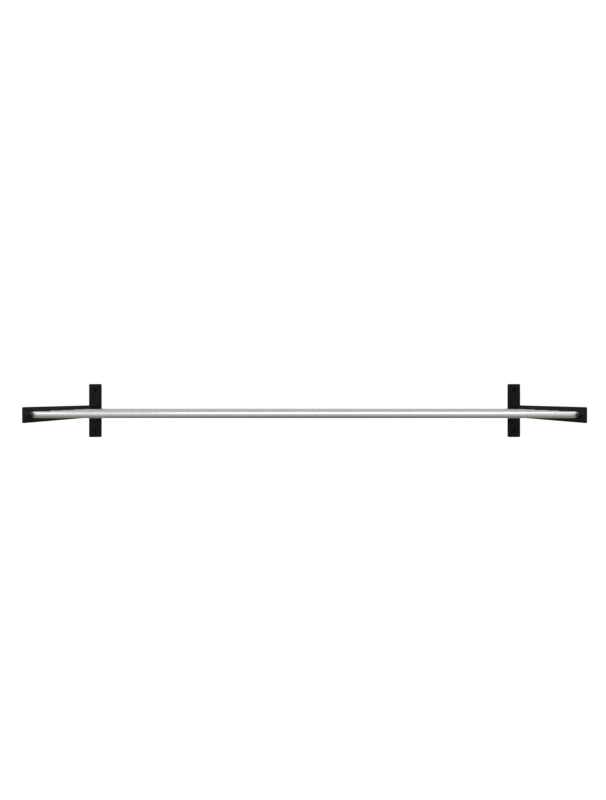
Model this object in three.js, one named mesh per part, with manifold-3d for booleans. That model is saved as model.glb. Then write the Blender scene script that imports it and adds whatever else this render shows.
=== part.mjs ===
// A wall-mounted rack for nine wine bottles, which lie on their sides in three rows, one behind another.
// Each row lies across a pair of round rods that run from side to side. Two side rails, flat bars set on
// edge, carry the ends of the six rods. Each rail is welded to the middle of a flat upright plate, which
// two screws hold to the wall.
//
// Millimetres. +X is the right-hand side, +Z is up and the front faces -Y. The origin is on the wall
// plane, midway between the sides, at the height of the rods' axes.

import * as THREE from "three";
import { mergeVertices } from "three/addons/utils/BufferGeometryUtils.js";
import Module from "manifold-3d";

// ---- Driving dimensions ----

const FIT_GAP = 0.3; // clearance left between pieces that touch

const ROD_DIAMETER = 13;
const ROD_SPAN = 1041.2; // between the inner faces of the two rails
const ROD_EDGE_CHAMFER = 0.6;
const SEAT_SPACING = 57; // between the axes of the two rods under one row of bottles
const ROW_PITCH = 97.5; // from one row of bottles to the next
const ROW_NAMES = ["front", "middle", "rear"];

// The rails and the wall plates are flat bars of one thickness.
const BAR_THICKNESS = 4;
const BAR_EDGE_ROUNDING = 0.5;

const RAIL_HEIGHT = 30;
const RAIL_CORNER_RADIUS = 2.5;
const RAIL_FRONT_MARGIN = 22; // from a rail's front end to the first rod's axis
const RAIL_REAR_MARGIN = 14.7; // from the last rod's axis to the rail's rear end

const PLATE_WIDTH = 30.5;
const PLATE_HEIGHT = 132.8;
const PLATE_CORNER_RADIUS = 3.2;
const PLATE_RISE = 1.5; // of a plate's middle above the rods' axes

// Both kinds of screw have the same countersunk head, and plain cylinders in place of their threads.
const SCREW_DIAMETER = 6;
const HEAD_DIAMETER = 12;
const HEAD_RIM = 0.3; // height of the head's upright edge above its cone
const HEAD_RECESS = 0.2; // how far the head sits below the face around it
const TURN_BETWEEN_SCREWS = 0.37; // radians, because no two screws stop at the same turn

// M6 x 20 socket screws hold the rods. The length of a countersunk screw takes in its head.
const ROD_SCREW_LENGTH = 20;
const ROD_SCREW_TIP_CHAMFER = 0.8;
const SOCKET_ACROSS_FLATS = 4;
const SOCKET_DEPTH = 2.3;
const TAPPED_HOLE_DEPTH = 17;
const DRILL_POINT_HEIGHT = 2; // cone at the bottom of a drilled hole

// 6 x 30 wood screws hold the plates to the wall.
const WALL_SCREW_MARGIN = 15; // from a plate's end to the axis of its screw
const WALL_SCREW_LENGTH = 30;
const WALL_SCREW_POINT_LENGTH = 7;
const CROSS_RECESS_SPAN = 6.4;
const CROSS_RECESS_FOOT_SPAN = 2.6;
const CROSS_RECESS_DEPTH = 3;
const CROSS_WING_THICKNESS = 1.1;

const CUT_PAST = 1; // how far a cutter starts and ends outside the piece
const ROUND_STEPS = 24; // sides of a rod or a drilled hole
const SCREW_STEPS = 16;
const CORNER_STEPS = 4;
const EDGE_STEPS = 2;

// ---- Sizes that follow ----

const rodRadius = ROD_DIAMETER / 2;
const rodLength = ROD_SPAN - 2 * FIT_GAP;
const screwRadius = SCREW_DIAMETER / 2;
const screwHoleRadius = screwRadius + FIT_GAP;
const headRadius = HEAD_DIAMETER / 2;
const countersinkRadius = headRadius + FIT_GAP;
const headTop = -HEAD_RECESS;
const rodField = (ROW_NAMES.length - 1) * ROW_PITCH + SEAT_SPACING; // from the first rod to the last
const railLength = RAIL_FRONT_MARGIN + rodField + RAIL_REAR_MARGIN;
const railFrontY = -(BAR_THICKNESS + FIT_GAP + railLength);
const sideX = (ROD_SPAN + BAR_THICKNESS) / 2; // the middle of a rail's thickness and of its plate
const wallScrewReach = PLATE_HEIGHT / 2 - WALL_SCREW_MARGIN; // from a plate's middle to its screws

// ---- Materials ----

const powderCoat = { color: 0x17181a, roughness: 0.55, metalness: 0.1 };
const anodisedAluminium = { color: 0xcfccc4, roughness: 0.3, metalness: 0.95 };
const blackenedSteel = { color: 0x1c1c1e, roughness: 0.4, metalness: 0.8 };

function pieceOf(name, geometry, finish) {
  const mesh = new THREE.Mesh(geometry, new THREE.MeshStandardMaterial(finish));
  mesh.name = name;
  return mesh;
}

// ---- Solids ----

const wasm = await Module();
wasm.setup();

// A closed three.js geometry as a manifold solid. Triangles that collapse where a turned profile meets
// its axis are dropped.
function solidOf(geometry) {
  const bare = geometry.clone();
  bare.deleteAttribute("normal");
  bare.deleteAttribute("uv");
  const merged = mergeVertices(bare);
  const corners = merged.index.array;
  const kept = [];
  for (let i = 0; i < corners.length; i += 3) {
    const triangle = corners.slice(i, i + 3);
    if (new Set(triangle).size === 3) kept.push(...triangle);
  }
  return new wasm.Manifold(
    new wasm.Mesh({
      numProp: 3,
      vertProperties: merged.attributes.position.array,
      triVerts: Uint32Array.from(kept),
    }),
  );
}

// The body with every cutter taken away, as a flat-shaded three.js geometry.
function cutGeometry(body, cutters) {
  const left = cutters.reduce((solid, cutter) => solid.subtract(solidOf(cutter)), solidOf(body));
  const { vertProperties, triVerts } = left.getMesh();
  const indexed = new THREE.BufferGeometry();
  indexed.setAttribute("position", new THREE.BufferAttribute(vertProperties, 3));
  indexed.setIndex(new THREE.BufferAttribute(triVerts, 1));
  const geometry = indexed.toNonIndexed();
  geometry.computeVertexNormals();
  return geometry;
}

// A solid turned about the Y axis, from its half outline: [radius, height] points that start and end
// on the axis and rise.
function turned(outline, steps) {
  const points = outline.map(([radius, height]) => new THREE.Vector2(radius, height));
  return new THREE.LatheGeometry(points, steps);
}

// A length of flat bar that lies in the XZ plane, with rounded corners. Its thickness runs from y = 0
// towards -Y, and the edges of both faces are rounded too.
function flatBar(width, height, cornerRadius) {
  const x = width / 2 - cornerRadius;
  const y = height / 2 - cornerRadius;
  const quarter = Math.PI / 2;
  const outline = new THREE.Shape();
  outline.absarc(x, y, cornerRadius, 0, quarter);
  outline.absarc(-x, y, cornerRadius, quarter, 2 * quarter);
  outline.absarc(-x, -y, cornerRadius, 2 * quarter, 3 * quarter);
  outline.absarc(x, -y, cornerRadius, 3 * quarter, 4 * quarter);
  outline.closePath();
  return new THREE.ExtrudeGeometry(outline, {
    depth: BAR_THICKNESS - 2 * BAR_EDGE_ROUNDING,
    curveSegments: CORNER_STEPS,
    bevelThickness: BAR_EDGE_ROUNDING,
    bevelSize: BAR_EDGE_ROUNDING,
    bevelOffset: -BAR_EDGE_ROUNDING,
    bevelSegments: EDGE_STEPS,
  })
    .translate(0, 0, BAR_EDGE_ROUNDING)
    .rotateX(Math.PI / 2);
}

// ---- Rods ----

// A bottle rod lies along X and is centred on the origin. Each end has a drilled hole for its screw.
function bottleRod(name) {
  const end = rodLength / 2;
  const holeBottom = end - TAPPED_HOLE_DEPTH;
  const upperHalf = [
    [rodRadius, end - ROD_EDGE_CHAMFER],
    [rodRadius - ROD_EDGE_CHAMFER, end],
    [screwHoleRadius, end],
    [screwHoleRadius, holeBottom],
    [0, holeBottom - DRILL_POINT_HEIGHT],
  ];
  const lowerHalf = upperHalf.map(([radius, height]) => [radius, -height]).reverse();
  const geometry = turned([...lowerHalf, ...upperHalf], ROUND_STEPS).rotateZ(Math.PI / 2);
  return pieceOf(name, geometry, anodisedAluminium);
}

// Distance of each rod's axis from a rail's front end, with the name of the rod.
const rodPlaces = ROW_NAMES.flatMap((row, index) => {
  const first = RAIL_FRONT_MARGIN + index * ROW_PITCH;
  return [
    { name: `${row}_row_front_rod`, fromFront: first },
    { name: `${row}_row_rear_rod`, fromFront: first + SEAT_SPACING },
  ];
});

// ---- Screws and their holes: in a screw's own frame +Y points out of the face its head lies in, and
// y = 0 on that face ----

// The cone under a head, or of the hole that the head lies in, from its foot up. The gap is the one
// square to the cone's slope.
function coneOutline(footRadius, topRadius, gap) {
  const top = headTop - HEAD_RIM - gap * (Math.SQRT2 - 1);
  return [
    [footRadius, top - (topRadius - footRadius)],
    [topRadius, top],
  ];
}

function countersunkScrew(name, tipOutline, recessCutters) {
  const outline = [
    ...tipOutline,
    ...coneOutline(screwRadius, headRadius, 0),
    [headRadius, headTop],
    [0, headTop],
  ];
  return pieceOf(name, cutGeometry(turned(outline, SCREW_STEPS), recessCutters), blackenedSteel);
}

function rodScrew(name) {
  const tip = headTop - ROD_SCREW_LENGTH;
  const tipOutline = [
    [0, tip],
    [screwRadius - ROD_SCREW_TIP_CHAMFER, tip],
    [screwRadius, tip + ROD_SCREW_TIP_CHAMFER],
  ];
  const socketRadius = SOCKET_ACROSS_FLATS / 2 / Math.cos(Math.PI / 6);
  const socket = new THREE.CylinderGeometry(socketRadius, socketRadius, 2 * SOCKET_DEPTH, 6);
  return countersunkScrew(name, tipOutline, [socket.translate(0, headTop, 0)]);
}

// A wood screw with a sharp point and a cross recess, whose wings taper inwards as they go down.
function wallScrew(name) {
  const tip = headTop - WALL_SCREW_LENGTH;
  const tipOutline = [
    [0, tip],
    [screwRadius, tip + WALL_SCREW_POINT_LENGTH],
  ];
  const foot = CROSS_RECESS_FOOT_SPAN / 2;
  const spread = CROSS_RECESS_SPAN - foot; // half the span, one recess depth above the head
  const wing = new THREE.Shape([
    new THREE.Vector2(-foot, headTop - CROSS_RECESS_DEPTH),
    new THREE.Vector2(foot, headTop - CROSS_RECESS_DEPTH),
    new THREE.Vector2(spread, headTop + CROSS_RECESS_DEPTH),
    new THREE.Vector2(-spread, headTop + CROSS_RECESS_DEPTH),
  ]);
  const wings = [0, Math.PI / 2].map((turn) =>
    new THREE.ExtrudeGeometry(wing, { depth: CROSS_WING_THICKNESS, bevelEnabled: false })
      .translate(0, 0, -CROSS_WING_THICKNESS / 2)
      .rotateY(turn),
  );
  return countersunkScrew(name, tipOutline, wings);
}

// A countersunk hole right through a bar, as a cutter in its screw's frame.
function screwHoleCutter() {
  const bottom = -(BAR_THICKNESS + CUT_PAST);
  const outline = [
    [0, bottom],
    [screwHoleRadius, bottom],
    ...coneOutline(screwHoleRadius, countersinkRadius, FIT_GAP),
    [countersinkRadius, CUT_PAST],
    [0, CUT_PAST],
  ];
  return turned(outline, ROUND_STEPS);
}

// ---- Side rails and wall plates ----

// A right-hand rail, centred on the origin. Its rods' screws go in from its outer face, at +X.
function sideRail(name) {
  const bar = flatBar(railLength, RAIL_HEIGHT, RAIL_CORNER_RADIUS)
    .rotateZ(Math.PI / 2)
    .translate(-BAR_THICKNESS / 2, 0, 0);
  const cutters = rodPlaces.map(({ fromFront }) =>
    screwHoleCutter()
      .rotateZ(-Math.PI / 2)
      .translate(BAR_THICKNESS / 2, fromFront - railLength / 2, 0),
  );
  return pieceOf(name, cutGeometry(bar, cutters), powderCoat);
}

// A wall plate has its back on y = 0. Its screws go in from its front face.
function wallPlate(name) {
  const bar = flatBar(PLATE_WIDTH, PLATE_HEIGHT, PLATE_CORNER_RADIUS);
  const cutters = [-1, 1].map((end) =>
    screwHoleCutter()
      .rotateX(Math.PI)
      .translate(0, -BAR_THICKNESS, end * wallScrewReach),
  );
  return pieceOf(name, cutGeometry(bar, cutters), powderCoat);
}

// ---- The rack ----

// One side of the rack, made as the right-hand one: rail, wall plate and their screws. up is -1 for a
// side that is then turned upside down, which keeps its plate raised and its screws named as they end up.
function rackSide(side, up) {
  const group = new THREE.Group();

  const rail = sideRail(`${side}_side_rail`);
  rail.position.set(sideX, railFrontY + railLength / 2, 0);
  group.add(rail);

  const plate = wallPlate(`${side}_wall_plate`);
  plate.position.set(sideX, 0, up * PLATE_RISE);
  group.add(plate);

  rodPlaces.forEach((place, index) => {
    const screw = rodScrew(`${place.name}_${side}_screw`);
    screw.position.set(sideX + BAR_THICKNESS / 2, railFrontY + place.fromFront, 0);
    screw.rotation.set(index * TURN_BETWEEN_SCREWS, 0, -Math.PI / 2);
    group.add(screw);
  });

  const levels = [
    { level: "upper", height: PLATE_RISE + wallScrewReach },
    { level: "lower", height: PLATE_RISE - wallScrewReach },
  ];
  levels.forEach(({ level, height }, index) => {
    const screw = wallScrew(`${side}_${level}_wall_screw`);
    screw.position.set(sideX, -BAR_THICKNESS, up * height);
    screw.rotation.set(Math.PI, (index + 1) * TURN_BETWEEN_SCREWS, 0);
    group.add(screw);
  });
  return group;
}

const rack = new THREE.Group();

const rightSide = rackSide("right", 1);
rack.add(rightSide);

// Half a turn about Y makes the left-hand side from a right-hand one.
const leftSide = rackSide("left", -1);
leftSide.rotation.y = Math.PI;
rack.add(leftSide);

for (const place of rodPlaces) {
  const rod = bottleRod(place.name);
  rod.position.y = railFrontY + place.fromFront;
  rack.add(rod);
}

export default rack;
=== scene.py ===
"""The looks of a wall-mounted wine rack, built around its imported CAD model.

Six satin aluminium rods run between two thin black side rails, and each rail is welded to the middle of
an upright wall plate. Everything is in metres: +X is the rack's right, +Z is up, the front faces -Y and
the wall is at y = 0. Every piece but the weld beads replaces the CAD node of the same shape with a finely
rounded mesh.
"""

import math

import bmesh
import bpy
from mathutils import Matrix, Vector


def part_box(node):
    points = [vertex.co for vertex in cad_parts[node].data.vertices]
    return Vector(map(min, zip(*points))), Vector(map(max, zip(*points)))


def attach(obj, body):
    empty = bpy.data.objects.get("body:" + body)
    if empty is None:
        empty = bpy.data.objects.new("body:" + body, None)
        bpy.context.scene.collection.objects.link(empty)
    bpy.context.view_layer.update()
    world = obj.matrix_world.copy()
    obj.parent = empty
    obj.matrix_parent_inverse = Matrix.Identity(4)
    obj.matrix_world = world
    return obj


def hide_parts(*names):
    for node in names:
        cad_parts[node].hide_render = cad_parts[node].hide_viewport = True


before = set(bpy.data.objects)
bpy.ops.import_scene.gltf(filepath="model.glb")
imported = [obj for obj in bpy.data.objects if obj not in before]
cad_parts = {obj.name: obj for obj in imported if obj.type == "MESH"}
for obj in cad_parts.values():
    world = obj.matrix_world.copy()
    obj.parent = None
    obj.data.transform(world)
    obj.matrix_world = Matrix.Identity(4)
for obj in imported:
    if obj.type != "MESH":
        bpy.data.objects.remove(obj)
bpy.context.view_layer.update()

MM = 0.001
FULL_TURN = 2 * math.pi
QUARTER_TURN = math.pi / 2
TINY = 1e-9  # far smaller than any size here

# ---- Sizes taken from the frame ----

rail_low, rail_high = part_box("right_side_rail")
plate_low, plate_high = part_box("right_wall_plate")
rod_low, rod_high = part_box("front_row_front_rod")
screw_low, screw_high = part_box("front_row_front_rod_right_screw")
wall_screw_low, wall_screw_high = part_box("right_upper_wall_screw")

ROD_NAMES = [f"{row}_row_{place}_rod" for row in ("front", "middle", "rear") for place in ("front", "rear")]
SIDES = {"left": -1, "right": 1}
LEVELS = ("lower", "upper")

rail_outer_x = rail_high.x
rail_centre_x = (rail_low.x + rail_high.x) / 2
bar_thickness = rail_high.x - rail_low.x  # of the rails and the wall plates alike
rail_height = rail_high.z - rail_low.z
rail_length = rail_high.y - rail_low.y
rod_radius = (rod_high.z - rod_low.z) / 2
rod_end_x = rod_high.x
screw_head_radius = (screw_high.z - screw_low.z) / 2
screw_head_recess = rail_outer_x - screw_high.x
screw_length = screw_high.x - screw_low.x
wall_screw_length = wall_screw_high.y - wall_screw_low.y


def centre_of(node):
    low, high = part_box(node)
    return (low + high) / 2


rod_places = [centre_of(name).y for name in ROD_NAMES]

# ---- Details that the boxes don't give ----

FIT_GAP = 0.3 * MM
BAR_EDGE = 0.5 * MM  # rounding along the edges of a rail or a plate
RAIL_CORNER = 2.5 * MM
PLATE_CORNER = 3.2 * MM
ROD_CHAMFER = 0.6 * MM
SCREW_RADIUS = 3 * MM
TAPPED_HOLE_DEPTH = 17 * MM
DRILL_POINT = 2 * MM
SCREW_HEAD_RIM = 0.3 * MM
RIM_EASE = 0.25 * MM  # rounding at the mouth of a hole
EASE_MIDDLE = 0.3  # how far in from both faces a small rounding has its middle, as a share of its radius
LEAST_ROUNDING = 0.05  # of an edge's rounding, kept where the bar's end is drawn in the most
HOLE_PATCH = 7.6 * MM  # half length of the stretch of bar that holds one hole
PATCH_START = 5 / 8  # of a turn: where the square patch round a hole has its first corner
SHARP_ANGLE = math.radians(35)  # edges that turn more than this are shaded as sharp

ROD_STEPS = 96
HOLE_SIDE_STEPS = 12  # a quarter of the steps round a hole
CORNER_STEPS = 6
END_STEPS = 8


# ---- Mesh building ----

def new_mesh():
    """An empty bmesh with the edge layer, which marks how exposed a vertex is to wear, from 0 to 1."""
    bm = bmesh.new()
    bm.verts.layers.float.new("edge")
    return bm


def add_vertex(bm, point, edge=0.0):
    vertex = bm.verts.new(point)
    vertex[bm.verts.layers.float["edge"]] = edge
    return vertex


def bridge(bm, loops):
    """Faces between each loop of vertices and the next. A loop of one vertex closes the skin."""
    for near, far in zip(loops, loops[1:]):
        count = max(len(near), len(far))
        for i in range(count):
            j = (i + 1) % count
            corners = [near[i % len(near)], near[j % len(near)], far[j % len(far)], far[i % len(far)]]
            bm.faces.new(list(dict.fromkeys(corners)))


def even_angles(steps):
    return [FULL_TURN * i / steps for i in range(steps)]


def ring_about_x(bm, x, radius, angles, edge=0.0):
    """A loop of vertices about the X axis. The radius is a number or a function of the angle."""
    if radius == 0:
        return [add_vertex(bm, (x, 0, 0), edge)]
    loop = []
    for angle in angles:
        reach = radius(angle) if callable(radius) else radius
        loop.append(add_vertex(bm, (x, reach * math.cos(angle), reach * math.sin(angle)), edge))
    return loop


def rounded_end(edge_radius, corner_radius):
    """The sections near a bar's end, as (distance from the end, inset across A, inset across B)."""
    sections = []
    for i in range(END_STEPS + 1):
        angle = QUARTER_TURN * i / END_STEPS
        distance = corner_radius * (1 - math.cos(angle))
        past = max(0.0, edge_radius - distance)
        inset_a = edge_radius - math.sqrt(edge_radius**2 - past**2)
        sections.append((distance, inset_a, corner_radius * (1 - math.sin(angle))))
    return sections


def bar_section(half_a, half_b, corner):
    """A rounded rectangle as (a, b, edge) points, starting at the foot of its +A face.

    The two A faces have a point at each step that a hole's patch needs.
    """
    flat_a = half_a - corner
    flat_b = half_b - corner
    steps = HOLE_SIDE_STEPS
    rise = [flat_b * (2 * i / steps - 1) for i in range(steps + 1)]
    points = [(half_a, b, 0.0) for b in rise]

    def arc(centre_a, centre_b, start):
        for i in range(1, CORNER_STEPS):
            turn = QUARTER_TURN * i / CORNER_STEPS
            a = centre_a + corner * math.cos(start + turn)
            b = centre_b + corner * math.sin(start + turn)
            points.append((a, b, math.sin(2 * turn)))

    arc(flat_a, flat_b, 0)
    points.extend([(flat_a, half_b, 0.0), (-flat_a, half_b, 0.0)])
    arc(-flat_a, flat_b, QUARTER_TURN)
    points.extend((-half_a, -b, 0.0) for b in rise)
    arc(-flat_a, -flat_b, 2 * QUARTER_TURN)
    points.extend([(-flat_a, -half_b, 0.0), (flat_a, -half_b, 0.0)])
    arc(flat_a, -flat_b, 3 * QUARTER_TURN)
    return points


def drilled_bar(place, half_a, half_b, length, corner, end_sections, holes, hole_outline):
    """A bar with rounded edges and round holes through it.

    A runs across the bar and in line with its holes, B runs across it the other way, and along is the
    distance from one end. place(a, b, along) is the point in the row frame. hole_outline is
    (radius, a, edge) from the +A face to the -A face, and holes gives how far along each hole's axis is.
    """
    bm = new_mesh()
    steps = HOLE_SIDE_STEPS
    minus_face = (steps + 1) + 2 * (CORNER_STEPS - 1) + 2  # index of the -A face's first point
    stations = list(end_sections)
    stations += [(length - along, inset_a, inset_b) for along, inset_a, inset_b in end_sections]
    for hole in holes:
        stations += [(hole + HOLE_PATCH * (2 * i / steps - 1), 0.0, 0.0) for i in range(steps + 1)]
    stations.sort()
    sections = [
        bar_section(half_a - inset_a, half_b - inset_b, max(corner - inset_a, LEAST_ROUNDING * corner))
        for _, inset_a, inset_b in stations
    ]
    made = {}

    def vertex(station, index):
        if (station, index) not in made:
            a, b, edge = sections[station][index]
            along, inset_a, _ = stations[station]
            made[station, index] = add_vertex(bm, place(a, b, along), 1.0 if inset_a else edge)
        return made[station, index]

    def station_at(along):
        return next(i for i, station in enumerate(stations) if abs(station[0] - along) < TINY)

    count = len(sections[0])
    patch_starts = [station_at(hole - HOLE_PATCH) for hole in holes]
    in_patch = {start + i for start in patch_starts for i in range(steps)}
    drilled = set(range(steps)) | set(range(minus_face, minus_face + steps))
    for station in range(len(stations) - 1):
        for index in range(count):
            if station in in_patch and index in drilled:
                continue
            after = (index + 1) % count
            bm.faces.new([
                vertex(station, index),
                vertex(station, after),
                vertex(station + 1, after),
                vertex(station + 1, index),
            ])
    for station in (0, len(stations) - 1):
        bm.faces.new([vertex(station, index) for index in range(count)])

    for start, hole in zip(patch_starts, holes):

        def border(face_vertex):
            """The square of vertices round one mouth of the hole."""
            loop = [face_vertex(start, i) for i in range(steps)]
            loop += [face_vertex(start + i, steps) for i in range(steps)]
            loop += [face_vertex(start + steps, steps - i) for i in range(steps)]
            loop += [face_vertex(start + steps - i, 0) for i in range(steps)]
            return loop

        loops = [border(vertex)]
        for radius, a, edge in hole_outline:
            loop = []
            for i in range(4 * steps):
                angle = FULL_TURN * (PATCH_START + i / (4 * steps))
                point = place(a, radius * math.cos(angle), hole + radius * math.sin(angle))
                loop.append(add_vertex(bm, point, edge))
            loops.append(loop)
        loops.append(border(lambda station, i: vertex(station, minus_face + steps - i)))
        bridge(bm, loops)
    return bm


def add_piece(name, bm, material, node=None, matrix=None):
    """Turns a bmesh into a smooth-shaded piece on the rack, in place of the CAD node if one is given."""
    bmesh.ops.recalc_face_normals(bm, faces=bm.faces)
    mesh = bpy.data.meshes.new(name)
    bm.to_mesh(mesh)
    bm.free()
    mesh.shade_smooth()
    mesh.set_sharp_from_angle(angle=SHARP_ANGLE)
    mesh.materials.append(material)
    piece = bpy.data.objects.new(name, mesh)
    bpy.context.scene.collection.objects.link(piece)
    if matrix:
        piece.matrix_world = matrix
    weighted = piece.modifiers.new("weighted_normals", "WEIGHTED_NORMAL")
    weighted.keep_sharp = True
    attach(piece, "root")
    if node:
        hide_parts(node)
    return piece


# ---- Materials ----

COAT_DARK = (0.0045, 0.0046, 0.0048)
COAT_PALE = (0.0065, 0.0066, 0.0068)
COAT_GRIT = (0.010, 0.010, 0.0105)
COAT_WORN = (0.013, 0.013, 0.014)
COAT_PEEL_DEPTH = 0.035 * MM
WELD_PEEL_DEPTH = 0.06 * MM
ROD_DARK = (0.80, 0.785, 0.755)
ROD_PALE = (0.86, 0.848, 0.822)
ROD_SCUFFED = (0.74, 0.73, 0.71)
ROD_RING_DEPTH = 0.0025 * MM
OXIDE_DARK = (0.006, 0.006, 0.0065)
OXIDE_PALE = (0.012, 0.0115, 0.011)
OXIDE_RING_WIDTH = 0.18 * MM
OXIDE_RING_DEPTH = 0.006 * MM
FLOOR_DARK = (0.93, 0.93, 0.93)
FLOOR_PALE = (0.96, 0.96, 0.96)
FLOOR_GLOW = 0.4
FLOOR_GRAIN_DEPTH = 0.02 * MM


class Finish:
    """A material's node tree, with the steps that the finishes share. Feature sizes are in metres."""

    def __init__(self, name, metallic=0.0, specular=0.5):
        self.material = bpy.data.materials.new(name)
        self.material.use_nodes = True
        self.tree = self.material.node_tree
        self.shader = self.tree.nodes["Principled BSDF"]
        self.shader.inputs["Metallic"].default_value = metallic
        self.shader.inputs["Specular IOR Level"].default_value = specular
        self.place = self.node("ShaderNodeTexCoord").outputs["Object"]

    def node(self, kind, values=None, **settings):
        """A new node. values gives each input, by name or index, a number or the output to link."""
        made = self.tree.nodes.new(kind)
        for name, value in settings.items():
            setattr(made, name, value)
        for name, value in (values or {}).items():
            if isinstance(value, bpy.types.NodeSocket):
                self.tree.links.new(value, made.inputs[name])
            else:
                made.inputs[name].default_value = value
        return made

    def stretched(self, x, y, z):
        """The place divided by a feature size along each axis."""
        values = {0: self.place, 1: (1 / x, 1 / y, 1 / z)}
        return self.node("ShaderNodeVectorMath", values, operation="MULTIPLY").outputs[0]

    def noise(self, size, detail=2.0):
        """Noise with even features of one size, or stretched ones for a size along each axis."""
        sizes = size if isinstance(size, tuple) else (size, size, size)
        values = {"Vector": self.stretched(*sizes), "Scale": 1.0, "Detail": detail}
        return self.node("ShaderNodeTexNoise", values).outputs[0]

    def spread(self, value, low, high, start=0.35, end=0.65):
        """The value from start to end as a number from low to high."""
        values = {"Value": value, "From Min": start, "From Max": end, "To Min": low, "To Max": high}
        return self.node("ShaderNodeMapRange", values).outputs[0]

    def math(self, operation, first, second):
        return self.node("ShaderNodeMath", {0: first, 1: second}, operation=operation).outputs[0]

    def blend(self, factor, first, second):
        """The first colour where the factor is 0 and the second where it is 1."""
        mix = self.node("ShaderNodeMix", data_type="RGBA")
        for name, value in (("Factor", factor), ("A", first), ("B", second)):
            socket = next(s for s in mix.inputs if s.name == name and s.enabled)
            if isinstance(value, bpy.types.NodeSocket):
                self.tree.links.new(value, socket)
            else:
                socket.default_value = (*value, 1.0)
        return next(s for s in mix.outputs if s.enabled)

    def bump(self, height, depth):
        values = {"Height": height, "Distance": depth, "Strength": 1.0}
        return self.node("ShaderNodeBump", values).outputs[0]

    def finish(self, color, roughness, normal):
        for name, socket in (("Base Color", color), ("Roughness", roughness), ("Normal", normal)):
            self.tree.links.new(socket, self.shader.inputs[name])
        return self.material


def powder_coat(name, peel_depth):
    """Satin black powder coat: fine orange peel, a little grit, and a faint sheen on worn edges."""
    coat = Finish(name, specular=0.11)
    peel = coat.noise(1.1 * MM)
    grit = coat.noise(0.3 * MM)
    cloud = coat.noise(28 * MM, detail=4)
    edge = coat.node("ShaderNodeAttribute", attribute_name="edge").outputs["Fac"]
    wear = coat.math("MULTIPLY", edge, coat.spread(coat.noise(5 * MM, detail=4), 0.0, 0.8))
    color = coat.blend(coat.spread(cloud, 0.0, 1.0), COAT_DARK, COAT_PALE)
    color = coat.blend(coat.spread(grit, 0.0, 1.0, start=0.62, end=0.72), color, COAT_GRIT)
    color = coat.blend(wear, color, COAT_WORN)
    smoothing = coat.math("MULTIPLY", wear, 0.12)
    roughness = coat.math("SUBTRACT", coat.spread(cloud, 0.51, 0.59), smoothing)
    height = coat.math("ADD", coat.math("MULTIPLY", peel, 0.75), coat.math("MULTIPLY", grit, 0.25))
    return coat.finish(color, roughness, coat.bump(height, peel_depth))


def satin_aluminium():
    """Ground and clear-anodised aluminium rod: fine rings round it and faint scuffs from bottles."""
    metal = Finish("satin_aluminium", metallic=1.0)
    rings = metal.noise((0.35 * MM, 14 * MM, 14 * MM), detail=3)
    bands = metal.noise((9 * MM, 40 * MM, 40 * MM), detail=4)
    cloud = metal.noise(45 * MM, detail=3)
    marks = metal.noise((1.6 * MM, 7 * MM, 7 * MM), detail=3)
    scuffs = metal.spread(marks, 0.0, 1.0, start=0.66, end=0.74)
    color = metal.blend(metal.spread(bands, 0.0, 1.0), ROD_DARK, ROD_PALE)
    color = metal.blend(metal.math("MULTIPLY", scuffs, 0.5), color, ROD_SCUFFED)
    roughness = metal.math("ADD", metal.spread(cloud, 0.19, 0.22), metal.spread(rings, 0.0, 0.05))
    roughness = metal.math("ADD", roughness, metal.math("MULTIPLY", scuffs, 0.06))
    return metal.finish(color, roughness, metal.bump(rings, ROD_RING_DEPTH))


def black_oxide():
    """Black-oxide screw steel, with faint turning rings round each screw's own axis."""
    steel = Finish("black_oxide_steel", metallic=0.75, specular=0.15)
    split = steel.node("ShaderNodeSeparateXYZ", {0: steel.place}).outputs
    across = steel.node("ShaderNodeCombineXYZ", {"Y": split["Y"], "Z": split["Z"]}).outputs[0]
    radius = steel.node("ShaderNodeVectorMath", {0: across}, operation="LENGTH").outputs["Value"]
    rings = steel.node(
        "ShaderNodeTexNoise",
        {"W": steel.math("DIVIDE", radius, OXIDE_RING_WIDTH), "Scale": 1.0, "Detail": 2.0},
        noise_dimensions="1D",
    ).outputs[0]
    stain = steel.noise(2.4 * MM, detail=4)
    color = steel.blend(steel.spread(stain, 0.0, 1.0), OXIDE_DARK, OXIDE_PALE)
    roughness = steel.math("ADD", steel.spread(stain, 0.3, 0.42), steel.spread(rings, 0.0, 0.06))
    return steel.finish(color, roughness, steel.bump(rings, OXIDE_RING_DEPTH))


def pale_floor():
    """Bright enough everywhere that it meets the white backdrop with no line."""
    floor = Finish("pale_floor", specular=0.1)
    floor.shader.inputs["Emission Color"].default_value = (1, 1, 1, 1)
    floor.shader.inputs["Emission Strength"].default_value = FLOOR_GLOW
    cloud = floor.noise(0.6, detail=3)
    color = floor.blend(floor.spread(cloud, 0.0, 1.0), FLOOR_DARK, FLOOR_PALE)
    roughness = floor.spread(cloud, 0.85, 0.95)
    return floor.finish(color, roughness, floor.bump(floor.noise(4 * MM), FLOOR_GRAIN_DEPTH))


# ---- Pieces ----

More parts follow.
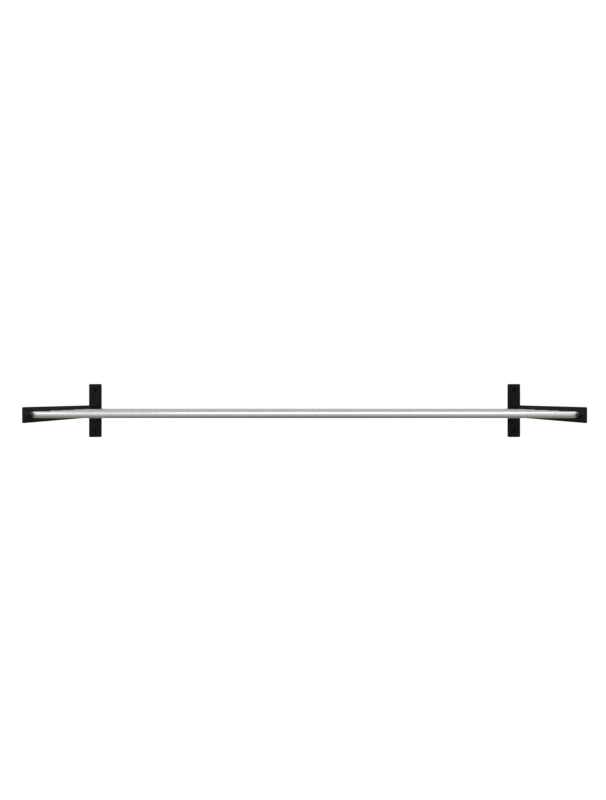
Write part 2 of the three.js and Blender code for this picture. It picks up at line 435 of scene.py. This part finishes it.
def make_rod(name, y, material):
    """A round rod with chamfered ends, each drilled for its screw."""
    bm = new_mesh()
    hole_radius = SCREW_RADIUS + FIT_GAP
    half = [  # (x, radius) from the foot of the right-hand hole out to the rod's side
        (rod_end_x - TAPPED_HOLE_DEPTH - DRILL_POINT, 0),
        (rod_end_x - TAPPED_HOLE_DEPTH, hole_radius),
        (rod_end_x - RIM_EASE, hole_radius),
        (rod_end_x, hole_radius + RIM_EASE),
        (rod_end_x, rod_radius - ROD_CHAMFER),
        (rod_end_x - ROD_CHAMFER, rod_radius),
    ]
    outline = half + [(-x, radius) for x, radius in reversed(half)]
    bridge(bm, [ring_about_x(bm, x, radius, even_angles(ROD_STEPS)) for x, radius in outline])
    bmesh.ops.translate(bm, verts=bm.verts, vec=(0, y, 0))
    return add_piece(f"{name}_satin", bm, material, name)


def screw_hole():
    """A countersunk hole, as (radius, a, edge) from the bar's +A face right through to its -A face."""
    half_thickness = bar_thickness / 2
    mouth = screw_head_radius + FIT_GAP
    hole = SCREW_RADIUS + FIT_GAP
    cone_top = half_thickness - screw_head_recess - SCREW_HEAD_RIM - FIT_GAP * (math.sqrt(2) - 1)
    return [
        (mouth + RIM_EASE, half_thickness, 0.0),
        (mouth + EASE_MIDDLE * RIM_EASE, half_thickness - EASE_MIDDLE * RIM_EASE, 1.0),
        (mouth, half_thickness - RIM_EASE, 0.0),
        (mouth, cone_top, 0.0),
        (hole, cone_top - (mouth - hole), 0.0),
        (hole + EASE_MIDDLE * RIM_EASE, EASE_MIDDLE * RIM_EASE - half_thickness, 1.0),
        (hole + RIM_EASE, -half_thickness, 0.0),
    ]


def make_rail(side_name, material):
    """A side rail, drilled from its outer face for the rods' screws."""
    side = SIDES[side_name]

    def place(a, b, along):
        return (side * (rail_centre_x + a), rail_low.y + along, b)

    bm = drilled_bar(
        place,
        half_a=bar_thickness / 2,
        half_b=rail_height / 2,
        length=rail_length,
        corner=BAR_EDGE,
        end_sections=rounded_end(BAR_EDGE, RAIL_CORNER),
        holes=[y - rail_low.y for y in rod_places],
        hole_outline=screw_hole(),
    )
    node = f"{side_name}_side_rail"
    return add_piece(f"{node}_coated", bm, material, node)


def make_plate(side_name, material):
    """An upright wall plate, drilled from its front face for the wall screws."""
    side = SIDES[side_name]
    centre_x = (plate_low.x + plate_high.x) / 2
    middle_y = (plate_low.y + plate_high.y) / 2

    def place(a, b, along):
        return (side * (centre_x + b), middle_y - a, plate_low.z + along)

    bm = drilled_bar(
        place,
        half_a=bar_thickness / 2,
        half_b=(plate_high.x - plate_low.x) / 2,
        length=plate_high.z - plate_low.z,
        corner=BAR_EDGE,
        end_sections=rounded_end(BAR_EDGE, PLATE_CORNER),
        holes=[centre_of(f"{side_name}_{level}_wall_screw").z - plate_low.z for level in LEVELS],
        hole_outline=screw_hole(),
    )
    node = f"{side_name}_wall_plate"
    return add_piece(f"{node}_coated", bm, material, node)


# ---- Screws, which point towards -X with x = 0 at the face that the head is let into ----

TURN_BETWEEN_SCREWS = 0.37  # radians
HEAD_EASE = 0.12 * MM
RECESS_CHAMFER = 0.25 * MM

ROD_SCREW_TIP_CHAMFER = 0.8 * MM
ROD_THREAD_PITCH = 1 * MM
ROD_THREAD_DEPTH = 0.6 * MM
ROD_THREAD_RUN_OUT = 1 * MM
ROD_THREAD_STEP = ROD_THREAD_PITCH / 6
ROD_THREAD_SLOPE = 1.25  # more than 1 leaves the groove a flat root
SOCKET_FLATS = 4 * MM
SOCKET_DEPTH = 2.3 * MM
SOCKET_FOOT = 0.9  # the radius of the cone at the socket's foot, as a share of half its flats
SOCKET_CONE_DEPTH = 0.6 * MM
HEX_SIDES = 6
ROD_SCREW_ANGLES = even_angles(8 * HEX_SIDES)

WALL_THREAD_PITCH = 3.4 * MM
WALL_THREAD_LENGTH = 20 * MM
WALL_THREAD_STEP = WALL_THREAD_PITCH / 14
WALL_THREAD_WIDTH = 0.42  # of the pitch, at the thread's root
WALL_THREAD_END = 0.6 * MM  # from the last of the thread to the full shank
WALL_POINT_LENGTH = 7 * MM
WALL_POINT_POWER = 0.8  # less than 1 gives the point a slight swell
WALL_CORE_RADIUS = 1.9 * MM
WALL_SHANK_RADIUS = 2.15 * MM
CROSS_SPAN = 6.4 * MM
CROSS_FOOT_SPAN = 2.6 * MM
CROSS_DEPTH = 3 * MM
CROSS_WING = 1.1 * MM
CROSS_FOOT_WING = 0.9 * MM
CROSS_PILOT_DEPTH = 0.5 * MM
CROSS_ARC_STEPS = 8


def screw_head(neck_radius, recess_rim):
    """The countersunk head, from the neck to the rim of its drive recess, as (x, radius, edge)."""
    top = -screw_head_recess
    cone_top = top - SCREW_HEAD_RIM
    return [
        (cone_top - (screw_head_radius - neck_radius), neck_radius, 0),
        (cone_top, screw_head_radius, 0),
        (top - HEAD_EASE, screw_head_radius, 0),
        (top - EASE_MIDDLE * HEAD_EASE, screw_head_radius - EASE_MIDDLE * HEAD_EASE, 1),
        (top, screw_head_radius - HEAD_EASE, 0),
        (top, recess_rim, 0),
    ]


def machine_thread(x, start, end):
    """The radius of a rod screw's thread at x, as a function of the angle. It fades out at both ends."""
    fade = max(0.0, min(1.0, (x - start) / ROD_THREAD_RUN_OUT, (end - x) / ROD_THREAD_RUN_OUT))

    def radius(angle):
        groove = abs(2 * ((x / ROD_THREAD_PITCH - angle / FULL_TURN) % 1.0) - 1)
        return SCREW_RADIUS - ROD_THREAD_DEPTH * fade * min(1.0, ROD_THREAD_SLOPE * groove)

    return radius


def wood_thread(x, tip):
    """The radius of a wall screw's sharp, coarse thread at x, which grows from the screw's point."""
    grown = min(1.0, (x - tip) / WALL_POINT_LENGTH)
    fade = max(0.0, min(1.0, (tip + WALL_THREAD_LENGTH - x) / WALL_THREAD_PITCH))
    core = WALL_CORE_RADIUS * grown**WALL_POINT_POWER

    def radius(angle):
        groove = abs(2 * ((x / WALL_THREAD_PITCH - angle / FULL_TURN) % 1.0) - 1)
        ridge = max(0.0, 1 - groove / WALL_THREAD_WIDTH)
        return core + (SCREW_RADIUS - WALL_CORE_RADIUS) * min(grown, fade) * ridge

    return radius


def hexagon(apothem):
    """The distance to a hexagon's side, as a function of the angle."""
    side = FULL_TURN / HEX_SIDES
    return lambda angle: apothem / math.cos(angle % side - side / 2)


def cross(span, wing):
    """The distance to the outline of a cross, as a function of the angle."""

    def bar(along, across):
        return min(span / 2 / max(along, TINY), wing / 2 / max(across, TINY))

    def radius(angle):
        along, across = abs(math.cos(angle)), abs(math.sin(angle))
        return max(bar(along, across), bar(across, along))

    return radius


def cross_angles():
    """Angles that meet every corner of the cross, with the round parts of the screw still smooth."""
    corner = math.atan2(CROSS_WING, CROSS_SPAN)
    gap = QUARTER_TURN - 2 * corner
    between = [corner + gap * i / CROSS_ARC_STEPS for i in range(CROSS_ARC_STEPS + 1)]
    first = [0, corner / 2, *between, QUARTER_TURN - corner / 2]
    return [QUARTER_TURN * turn + angle for turn in range(4) for angle in first]


def add_screw(node, rings, angles, matrix, material):
    bm = new_mesh()
    bridge(bm, [ring_about_x(bm, x, radius, angles, edge) for x, radius, edge in rings])
    return add_piece(f"{node}_threaded", bm, material, node, matrix)


def make_rod_screw(rod_name, side_name, y, index, material):
    """An M6 countersunk socket screw, which holds a rod from the rail's outer face."""
    top = -screw_head_recess
    tip = top - screw_length
    thread_start = tip + ROD_SCREW_TIP_CHAMFER
    apothem = SOCKET_FLATS / 2
    head = screw_head(SCREW_RADIUS, apothem / math.cos(math.pi / HEX_SIDES) + RECESS_CHAMFER)
    thread_end = head[0][0]
    thread_rings = int((thread_end - thread_start) / ROD_THREAD_STEP)
    threaded = [thread_start + i * ROD_THREAD_STEP for i in range(thread_rings)]
    rings = [
        (tip, 0, 0),
        (tip, SCREW_RADIUS - ROD_SCREW_TIP_CHAMFER, 0),
        *[(x, machine_thread(x, thread_start, thread_end), 0) for x in threaded],
        *head,
        (top - RECESS_CHAMFER, hexagon(apothem), 1),
        (top - SOCKET_DEPTH, hexagon(apothem), 0),
        (top - SOCKET_DEPTH, apothem * SOCKET_FOOT, 0),
        (top - SOCKET_DEPTH - SOCKET_CONE_DEPTH, 0, 0),
    ]
    side = SIDES[side_name]
    matrix = Matrix.Translation((side * rail_outer_x, y, 0))
    if side < 0:
        matrix = matrix @ Matrix.Rotation(math.pi, 4, "Y")
    matrix = matrix @ Matrix.Rotation(index * TURN_BETWEEN_SCREWS, 4, "X")
    return add_screw(f"{rod_name}_{side_name}_screw", rings, ROD_SCREW_ANGLES, matrix, material)


def make_wall_screw(side_name, level, index, material):
    """A 6 x 30 countersunk wood screw, which goes through the wall plate into the wall."""
    top = -screw_head_recess
    tip = top - wall_screw_length
    thread_rings = int(WALL_THREAD_LENGTH / WALL_THREAD_STEP)
    threaded = [tip + i * WALL_THREAD_STEP for i in range(1, thread_rings + 1)]
    rings = [
        (tip, 0, 0),
        *[(x, wood_thread(x, tip), 0) for x in threaded],
        (tip + WALL_THREAD_LENGTH + WALL_THREAD_END, WALL_SHANK_RADIUS, 0),
        *screw_head(WALL_SHANK_RADIUS, cross(CROSS_SPAN + RECESS_CHAMFER, CROSS_WING + RECESS_CHAMFER)),
        (top - RECESS_CHAMFER / 2, cross(CROSS_SPAN, CROSS_WING), 1),
        (top - CROSS_DEPTH, cross(CROSS_FOOT_SPAN, CROSS_FOOT_WING), 0),
        (top - CROSS_DEPTH - CROSS_PILOT_DEPTH, 0, 0),
    ]
    node = f"{side_name}_{level}_wall_screw"
    place = centre_of(node)
    matrix = Matrix.Translation((place.x, plate_low.y, place.z))
    matrix = matrix @ Matrix.Rotation(-QUARTER_TURN, 4, "Z")
    matrix = matrix @ Matrix.Rotation((index + 1) * TURN_BETWEEN_SCREWS, 4, "X")
    return add_screw(node, rings, cross_angles(), matrix, material)


# ---- Welds ----

WELD_LEG = 3.2 * MM
WELD_BULGE = 0.4 * MM
WELD_ROOT = 0.4 * MM  # how far the bead starts inside the rail
WELD_SINK = 0.1 * MM  # how far it starts inside the plate
WELD_RIPPLE_PITCH = 1.9 * MM
WELD_RIPPLE = 0.09  # of the bead's size, which each ripple loses before the next
WELD_RIPPLE_LAG = 0.45  # of the pitch, by which the middle of a ripple trails its ends
WELD_STEP = 0.3 * MM
WELD_PROFILE_STEPS = 8
WELD_CORNER_STEPS = 8


def rail_outline():
    """Points round the rail's section, as (x, z, outward x, outward z) from the section's middle."""
    flat_x = bar_thickness / 2 - BAR_EDGE
    flat_z = rail_height / 2 - BAR_EDGE
    corners = [(flat_x, flat_z), (-flat_x, flat_z), (-flat_x, -flat_z), (flat_x, -flat_z)]
    points = []
    for quarter, (x, z) in enumerate(corners):
        for i in range(WELD_CORNER_STEPS):
            angle = QUARTER_TURN * (quarter + i / WELD_CORNER_STEPS)
            out_x, out_z = math.cos(angle), math.sin(angle)
            points.append((x + BAR_EDGE * out_x, z + BAR_EDGE * out_z, out_x, out_z))
        angle = QUARTER_TURN * (quarter + 1)
        out_x, out_z = math.cos(angle), math.sin(angle)
        run = 2 * (flat_x if quarter % 2 == 0 else flat_z)
        count = round(run / WELD_STEP)
        for i in range(count):
            along = run * i / count
            points.append((
                x + BAR_EDGE * out_x - out_z * along,
                z + BAR_EDGE * out_z + out_x * along,
                out_x,
                out_z,
            ))
    return points


def make_weld(side_name, material):
    """The fillet weld all round the rear end of a rail, where it meets its wall plate.

    Each loop is a section across the bead, made of points (out from the rail, ahead of the plate).
    """
    side = SIDES[side_name]
    outline = rail_outline()
    places = [(x, z) for x, z, _, _ in outline]
    steps = [math.dist(here, after) for here, after in zip(places, places[1:] + places[:1])]
    pitch = sum(steps) / round(sum(steps) / WELD_RIPPLE_PITCH)
    travelled = 0.0
    bm = new_mesh()
    loops = []
    for (x, z, out_x, out_z), step in zip(outline, steps):
        profile = [(-WELD_ROOT, -WELD_SINK), (WELD_LEG, -WELD_SINK)]
        for i in range(WELD_PROFILE_STEPS + 1):
            t = i / WELD_PROFILE_STEPS
            arch = math.sin(math.pi * t)
            ripple = 1 - WELD_RIPPLE * ((travelled / pitch - WELD_RIPPLE_LAG * arch) % 1.0)
            leg = WELD_LEG * ripple
            bulge = WELD_BULGE * arch * ripple
            profile.append((leg * (1 - t) + bulge, leg * t + bulge))
        profile.append((-WELD_ROOT, profile[-1][1]))
        loops.append([
            add_vertex(bm, (side * (rail_centre_x + x + out_x * out), plate_low.y - ahead, z + out_z * out))
            for out, ahead in profile
        ])
        travelled += step
    bridge(bm, loops + loops[:1])
    return add_piece(f"{side_name}_weld_bead", bm, material)


coat = powder_coat("black_powder_coat", COAT_PEEL_DEPTH)
weld_coat = powder_coat("black_powder_coat_on_weld", WELD_PEEL_DEPTH)
aluminium = satin_aluminium()
screw_steel = black_oxide()

for rod_name, rod_y in zip(ROD_NAMES, rod_places):
    make_rod(rod_name, rod_y, aluminium)

for side_name in SIDES:
    make_rail(side_name, coat)
    make_plate(side_name, coat)
    make_weld(side_name, weld_coat)
    for index, (rod_name, rod_y) in enumerate(zip(ROD_NAMES, rod_places)):
        make_rod_screw(rod_name, side_name, rod_y, index, screw_steel)
    for index, level in enumerate(LEVELS):
        make_wall_screw(side_name, level, index, screw_steel)

# ---- Floor, light and camera ----

FLOOR_DROP = 0.9  # below the rods
FLOOR_RADIUS = 40
FLOOR_SIDES = 64
BEHIND_STRENGTH = 0.6  # of the studio behind the rack, against 1 in front of it
BEHIND_FADE = (-0.2, 0.6)  # the Y of the directions between which the studio dims
BACKDROP_STRENGTH = 1.05
STUDIO_COLORS = [  # from straight down, at 0, to straight up, at 1
    (0.0, (0.15, 0.138, 0.112)),
    (0.03, (0.25, 0.23, 0.185)),
    (0.23, (0.42, 0.39, 0.325)),
    (0.5, (0.60, 0.58, 0.54)),
    (0.65, (0.75, 0.76, 0.78)),
    (1.0, (0.9, 0.92, 0.95)),
]
SOFTBOX_TARGET = (0, -0.15, 0)  # near the middle of the rods
SOFTBOXES = [  # name, place, width and height, watts, colour
    ("key", (0.3, -0.95, 1.95), (2.2, 0.9), 25, (1.0, 1.0, 1.0)),
    ("fill", (-1.8, -0.9, 0.8), (1.2, 1.2), 8, (0.97, 0.98, 1.0)),
]


def make_floor():
    bm = bmesh.new()
    bmesh.ops.create_circle(bm, cap_ends=True, segments=FLOOR_SIDES, radius=FLOOR_RADIUS)
    bmesh.ops.translate(bm, verts=bm.verts, vec=(0, 0, -FLOOR_DROP))
    mesh = bpy.data.meshes.new("floor")
    bm.to_mesh(mesh)
    bm.free()
    mesh.materials.append(pale_floor())
    floor = bpy.data.objects.new("floor", mesh)
    bpy.context.scene.collection.objects.link(floor)
    floor.visible_glossy = False  # the rods mirror the studio's darker lower half instead
    floor.visible_diffuse = False


def make_studio():
    """A soft studio: pale above, darker and warmer below, and dimmer behind the rack than before it.

    The camera itself sees it white.
    """
    world = bpy.data.worlds.new("studio")
    bpy.context.scene.world = world
    world.use_nodes = True
    tree = world.node_tree
    nodes, links = tree.nodes, tree.links
    split = nodes.new("ShaderNodeSeparateXYZ")
    links.new(nodes.new("ShaderNodeTexCoord").outputs["Generated"], split.inputs[0])
    height = nodes.new("ShaderNodeMapRange")
    height.inputs["From Min"].default_value = -1
    links.new(split.outputs["Z"], height.inputs["Value"])
    ramp = nodes.new("ShaderNodeValToRGB")
    while len(ramp.color_ramp.elements) < len(STUDIO_COLORS):
        ramp.color_ramp.elements.new(0.5)
    for element, (place, color) in zip(ramp.color_ramp.elements, STUDIO_COLORS):
        element.position = place
        element.color = (*color, 1)
    links.new(height.outputs[0], ramp.inputs[0])
    surround = nodes["Background"]
    behind = nodes.new("ShaderNodeMapRange")
    behind.inputs["From Min"].default_value, behind.inputs["From Max"].default_value = BEHIND_FADE
    behind.inputs["To Min"].default_value = 1.0
    behind.inputs["To Max"].default_value = BEHIND_STRENGTH
    links.new(split.outputs["Y"], behind.inputs["Value"])
    links.new(behind.outputs[0], surround.inputs["Strength"])
    links.new(ramp.outputs[0], surround.inputs["Color"])
    backdrop = nodes.new("ShaderNodeBackground")
    backdrop.inputs["Color"].default_value = (1, 1, 1, 1)
    backdrop.inputs["Strength"].default_value = BACKDROP_STRENGTH
    choose = nodes.new("ShaderNodeMixShader")
    links.new(nodes.new("ShaderNodeLightPath").outputs["Is Camera Ray"], choose.inputs[0])
    links.new(surround.outputs[0], choose.inputs[1])
    links.new(backdrop.outputs[0], choose.inputs[2])
    links.new(choose.outputs[0], nodes["World Output"].inputs["Surface"])


def add_softbox(name, location, size, power, color):
    """A soft lamp that faces the rack. Its size is its width and height."""
    light = bpy.data.lights.new(name, "AREA")
    light.shape = "RECTANGLE"
    light.size, light.size_y = size
    light.energy = power
    light.color = color
    lamp = bpy.data.objects.new(name, light)
    lamp.location = location
    lamp.rotation_euler = (Vector(SOFTBOX_TARGET) - Vector(location)).to_track_quat("-Z", "Y").to_euler()
    bpy.context.scene.collection.objects.link(lamp)


LENS = 20.385  # millimetres, on a sensor 36 mm along the picture's long side
CAMERA_DISTANCE = 0.8406  # from the rails' front ends
CAMERA_HEIGHT = 0.029  # above the rods' axes
CAMERA_SHIFT = (-0.002, -0.0006)  # of the picture's long side: the rack sits just off its centre
CAMERA_CLIP_START = 0.01


def add_camera():
    data = bpy.data.cameras.new("camera")
    data.lens = LENS
    data.shift_x, data.shift_y = CAMERA_SHIFT
    data.clip_start = CAMERA_CLIP_START
    camera = bpy.data.objects.new("camera", data)
    camera.location = (0, rail_low.y - CAMERA_DISTANCE, CAMERA_HEIGHT)
    camera.rotation_euler = (QUARTER_TURN, 0, 0)
    bpy.context.scene.collection.objects.link(camera)
    bpy.context.scene.camera = camera


make_floor()
make_studio()
for softbox in SOFTBOXES:
    add_softbox(*softbox)
add_camera()
bpy.context.scene.view_settings.view_transform = "Standard"
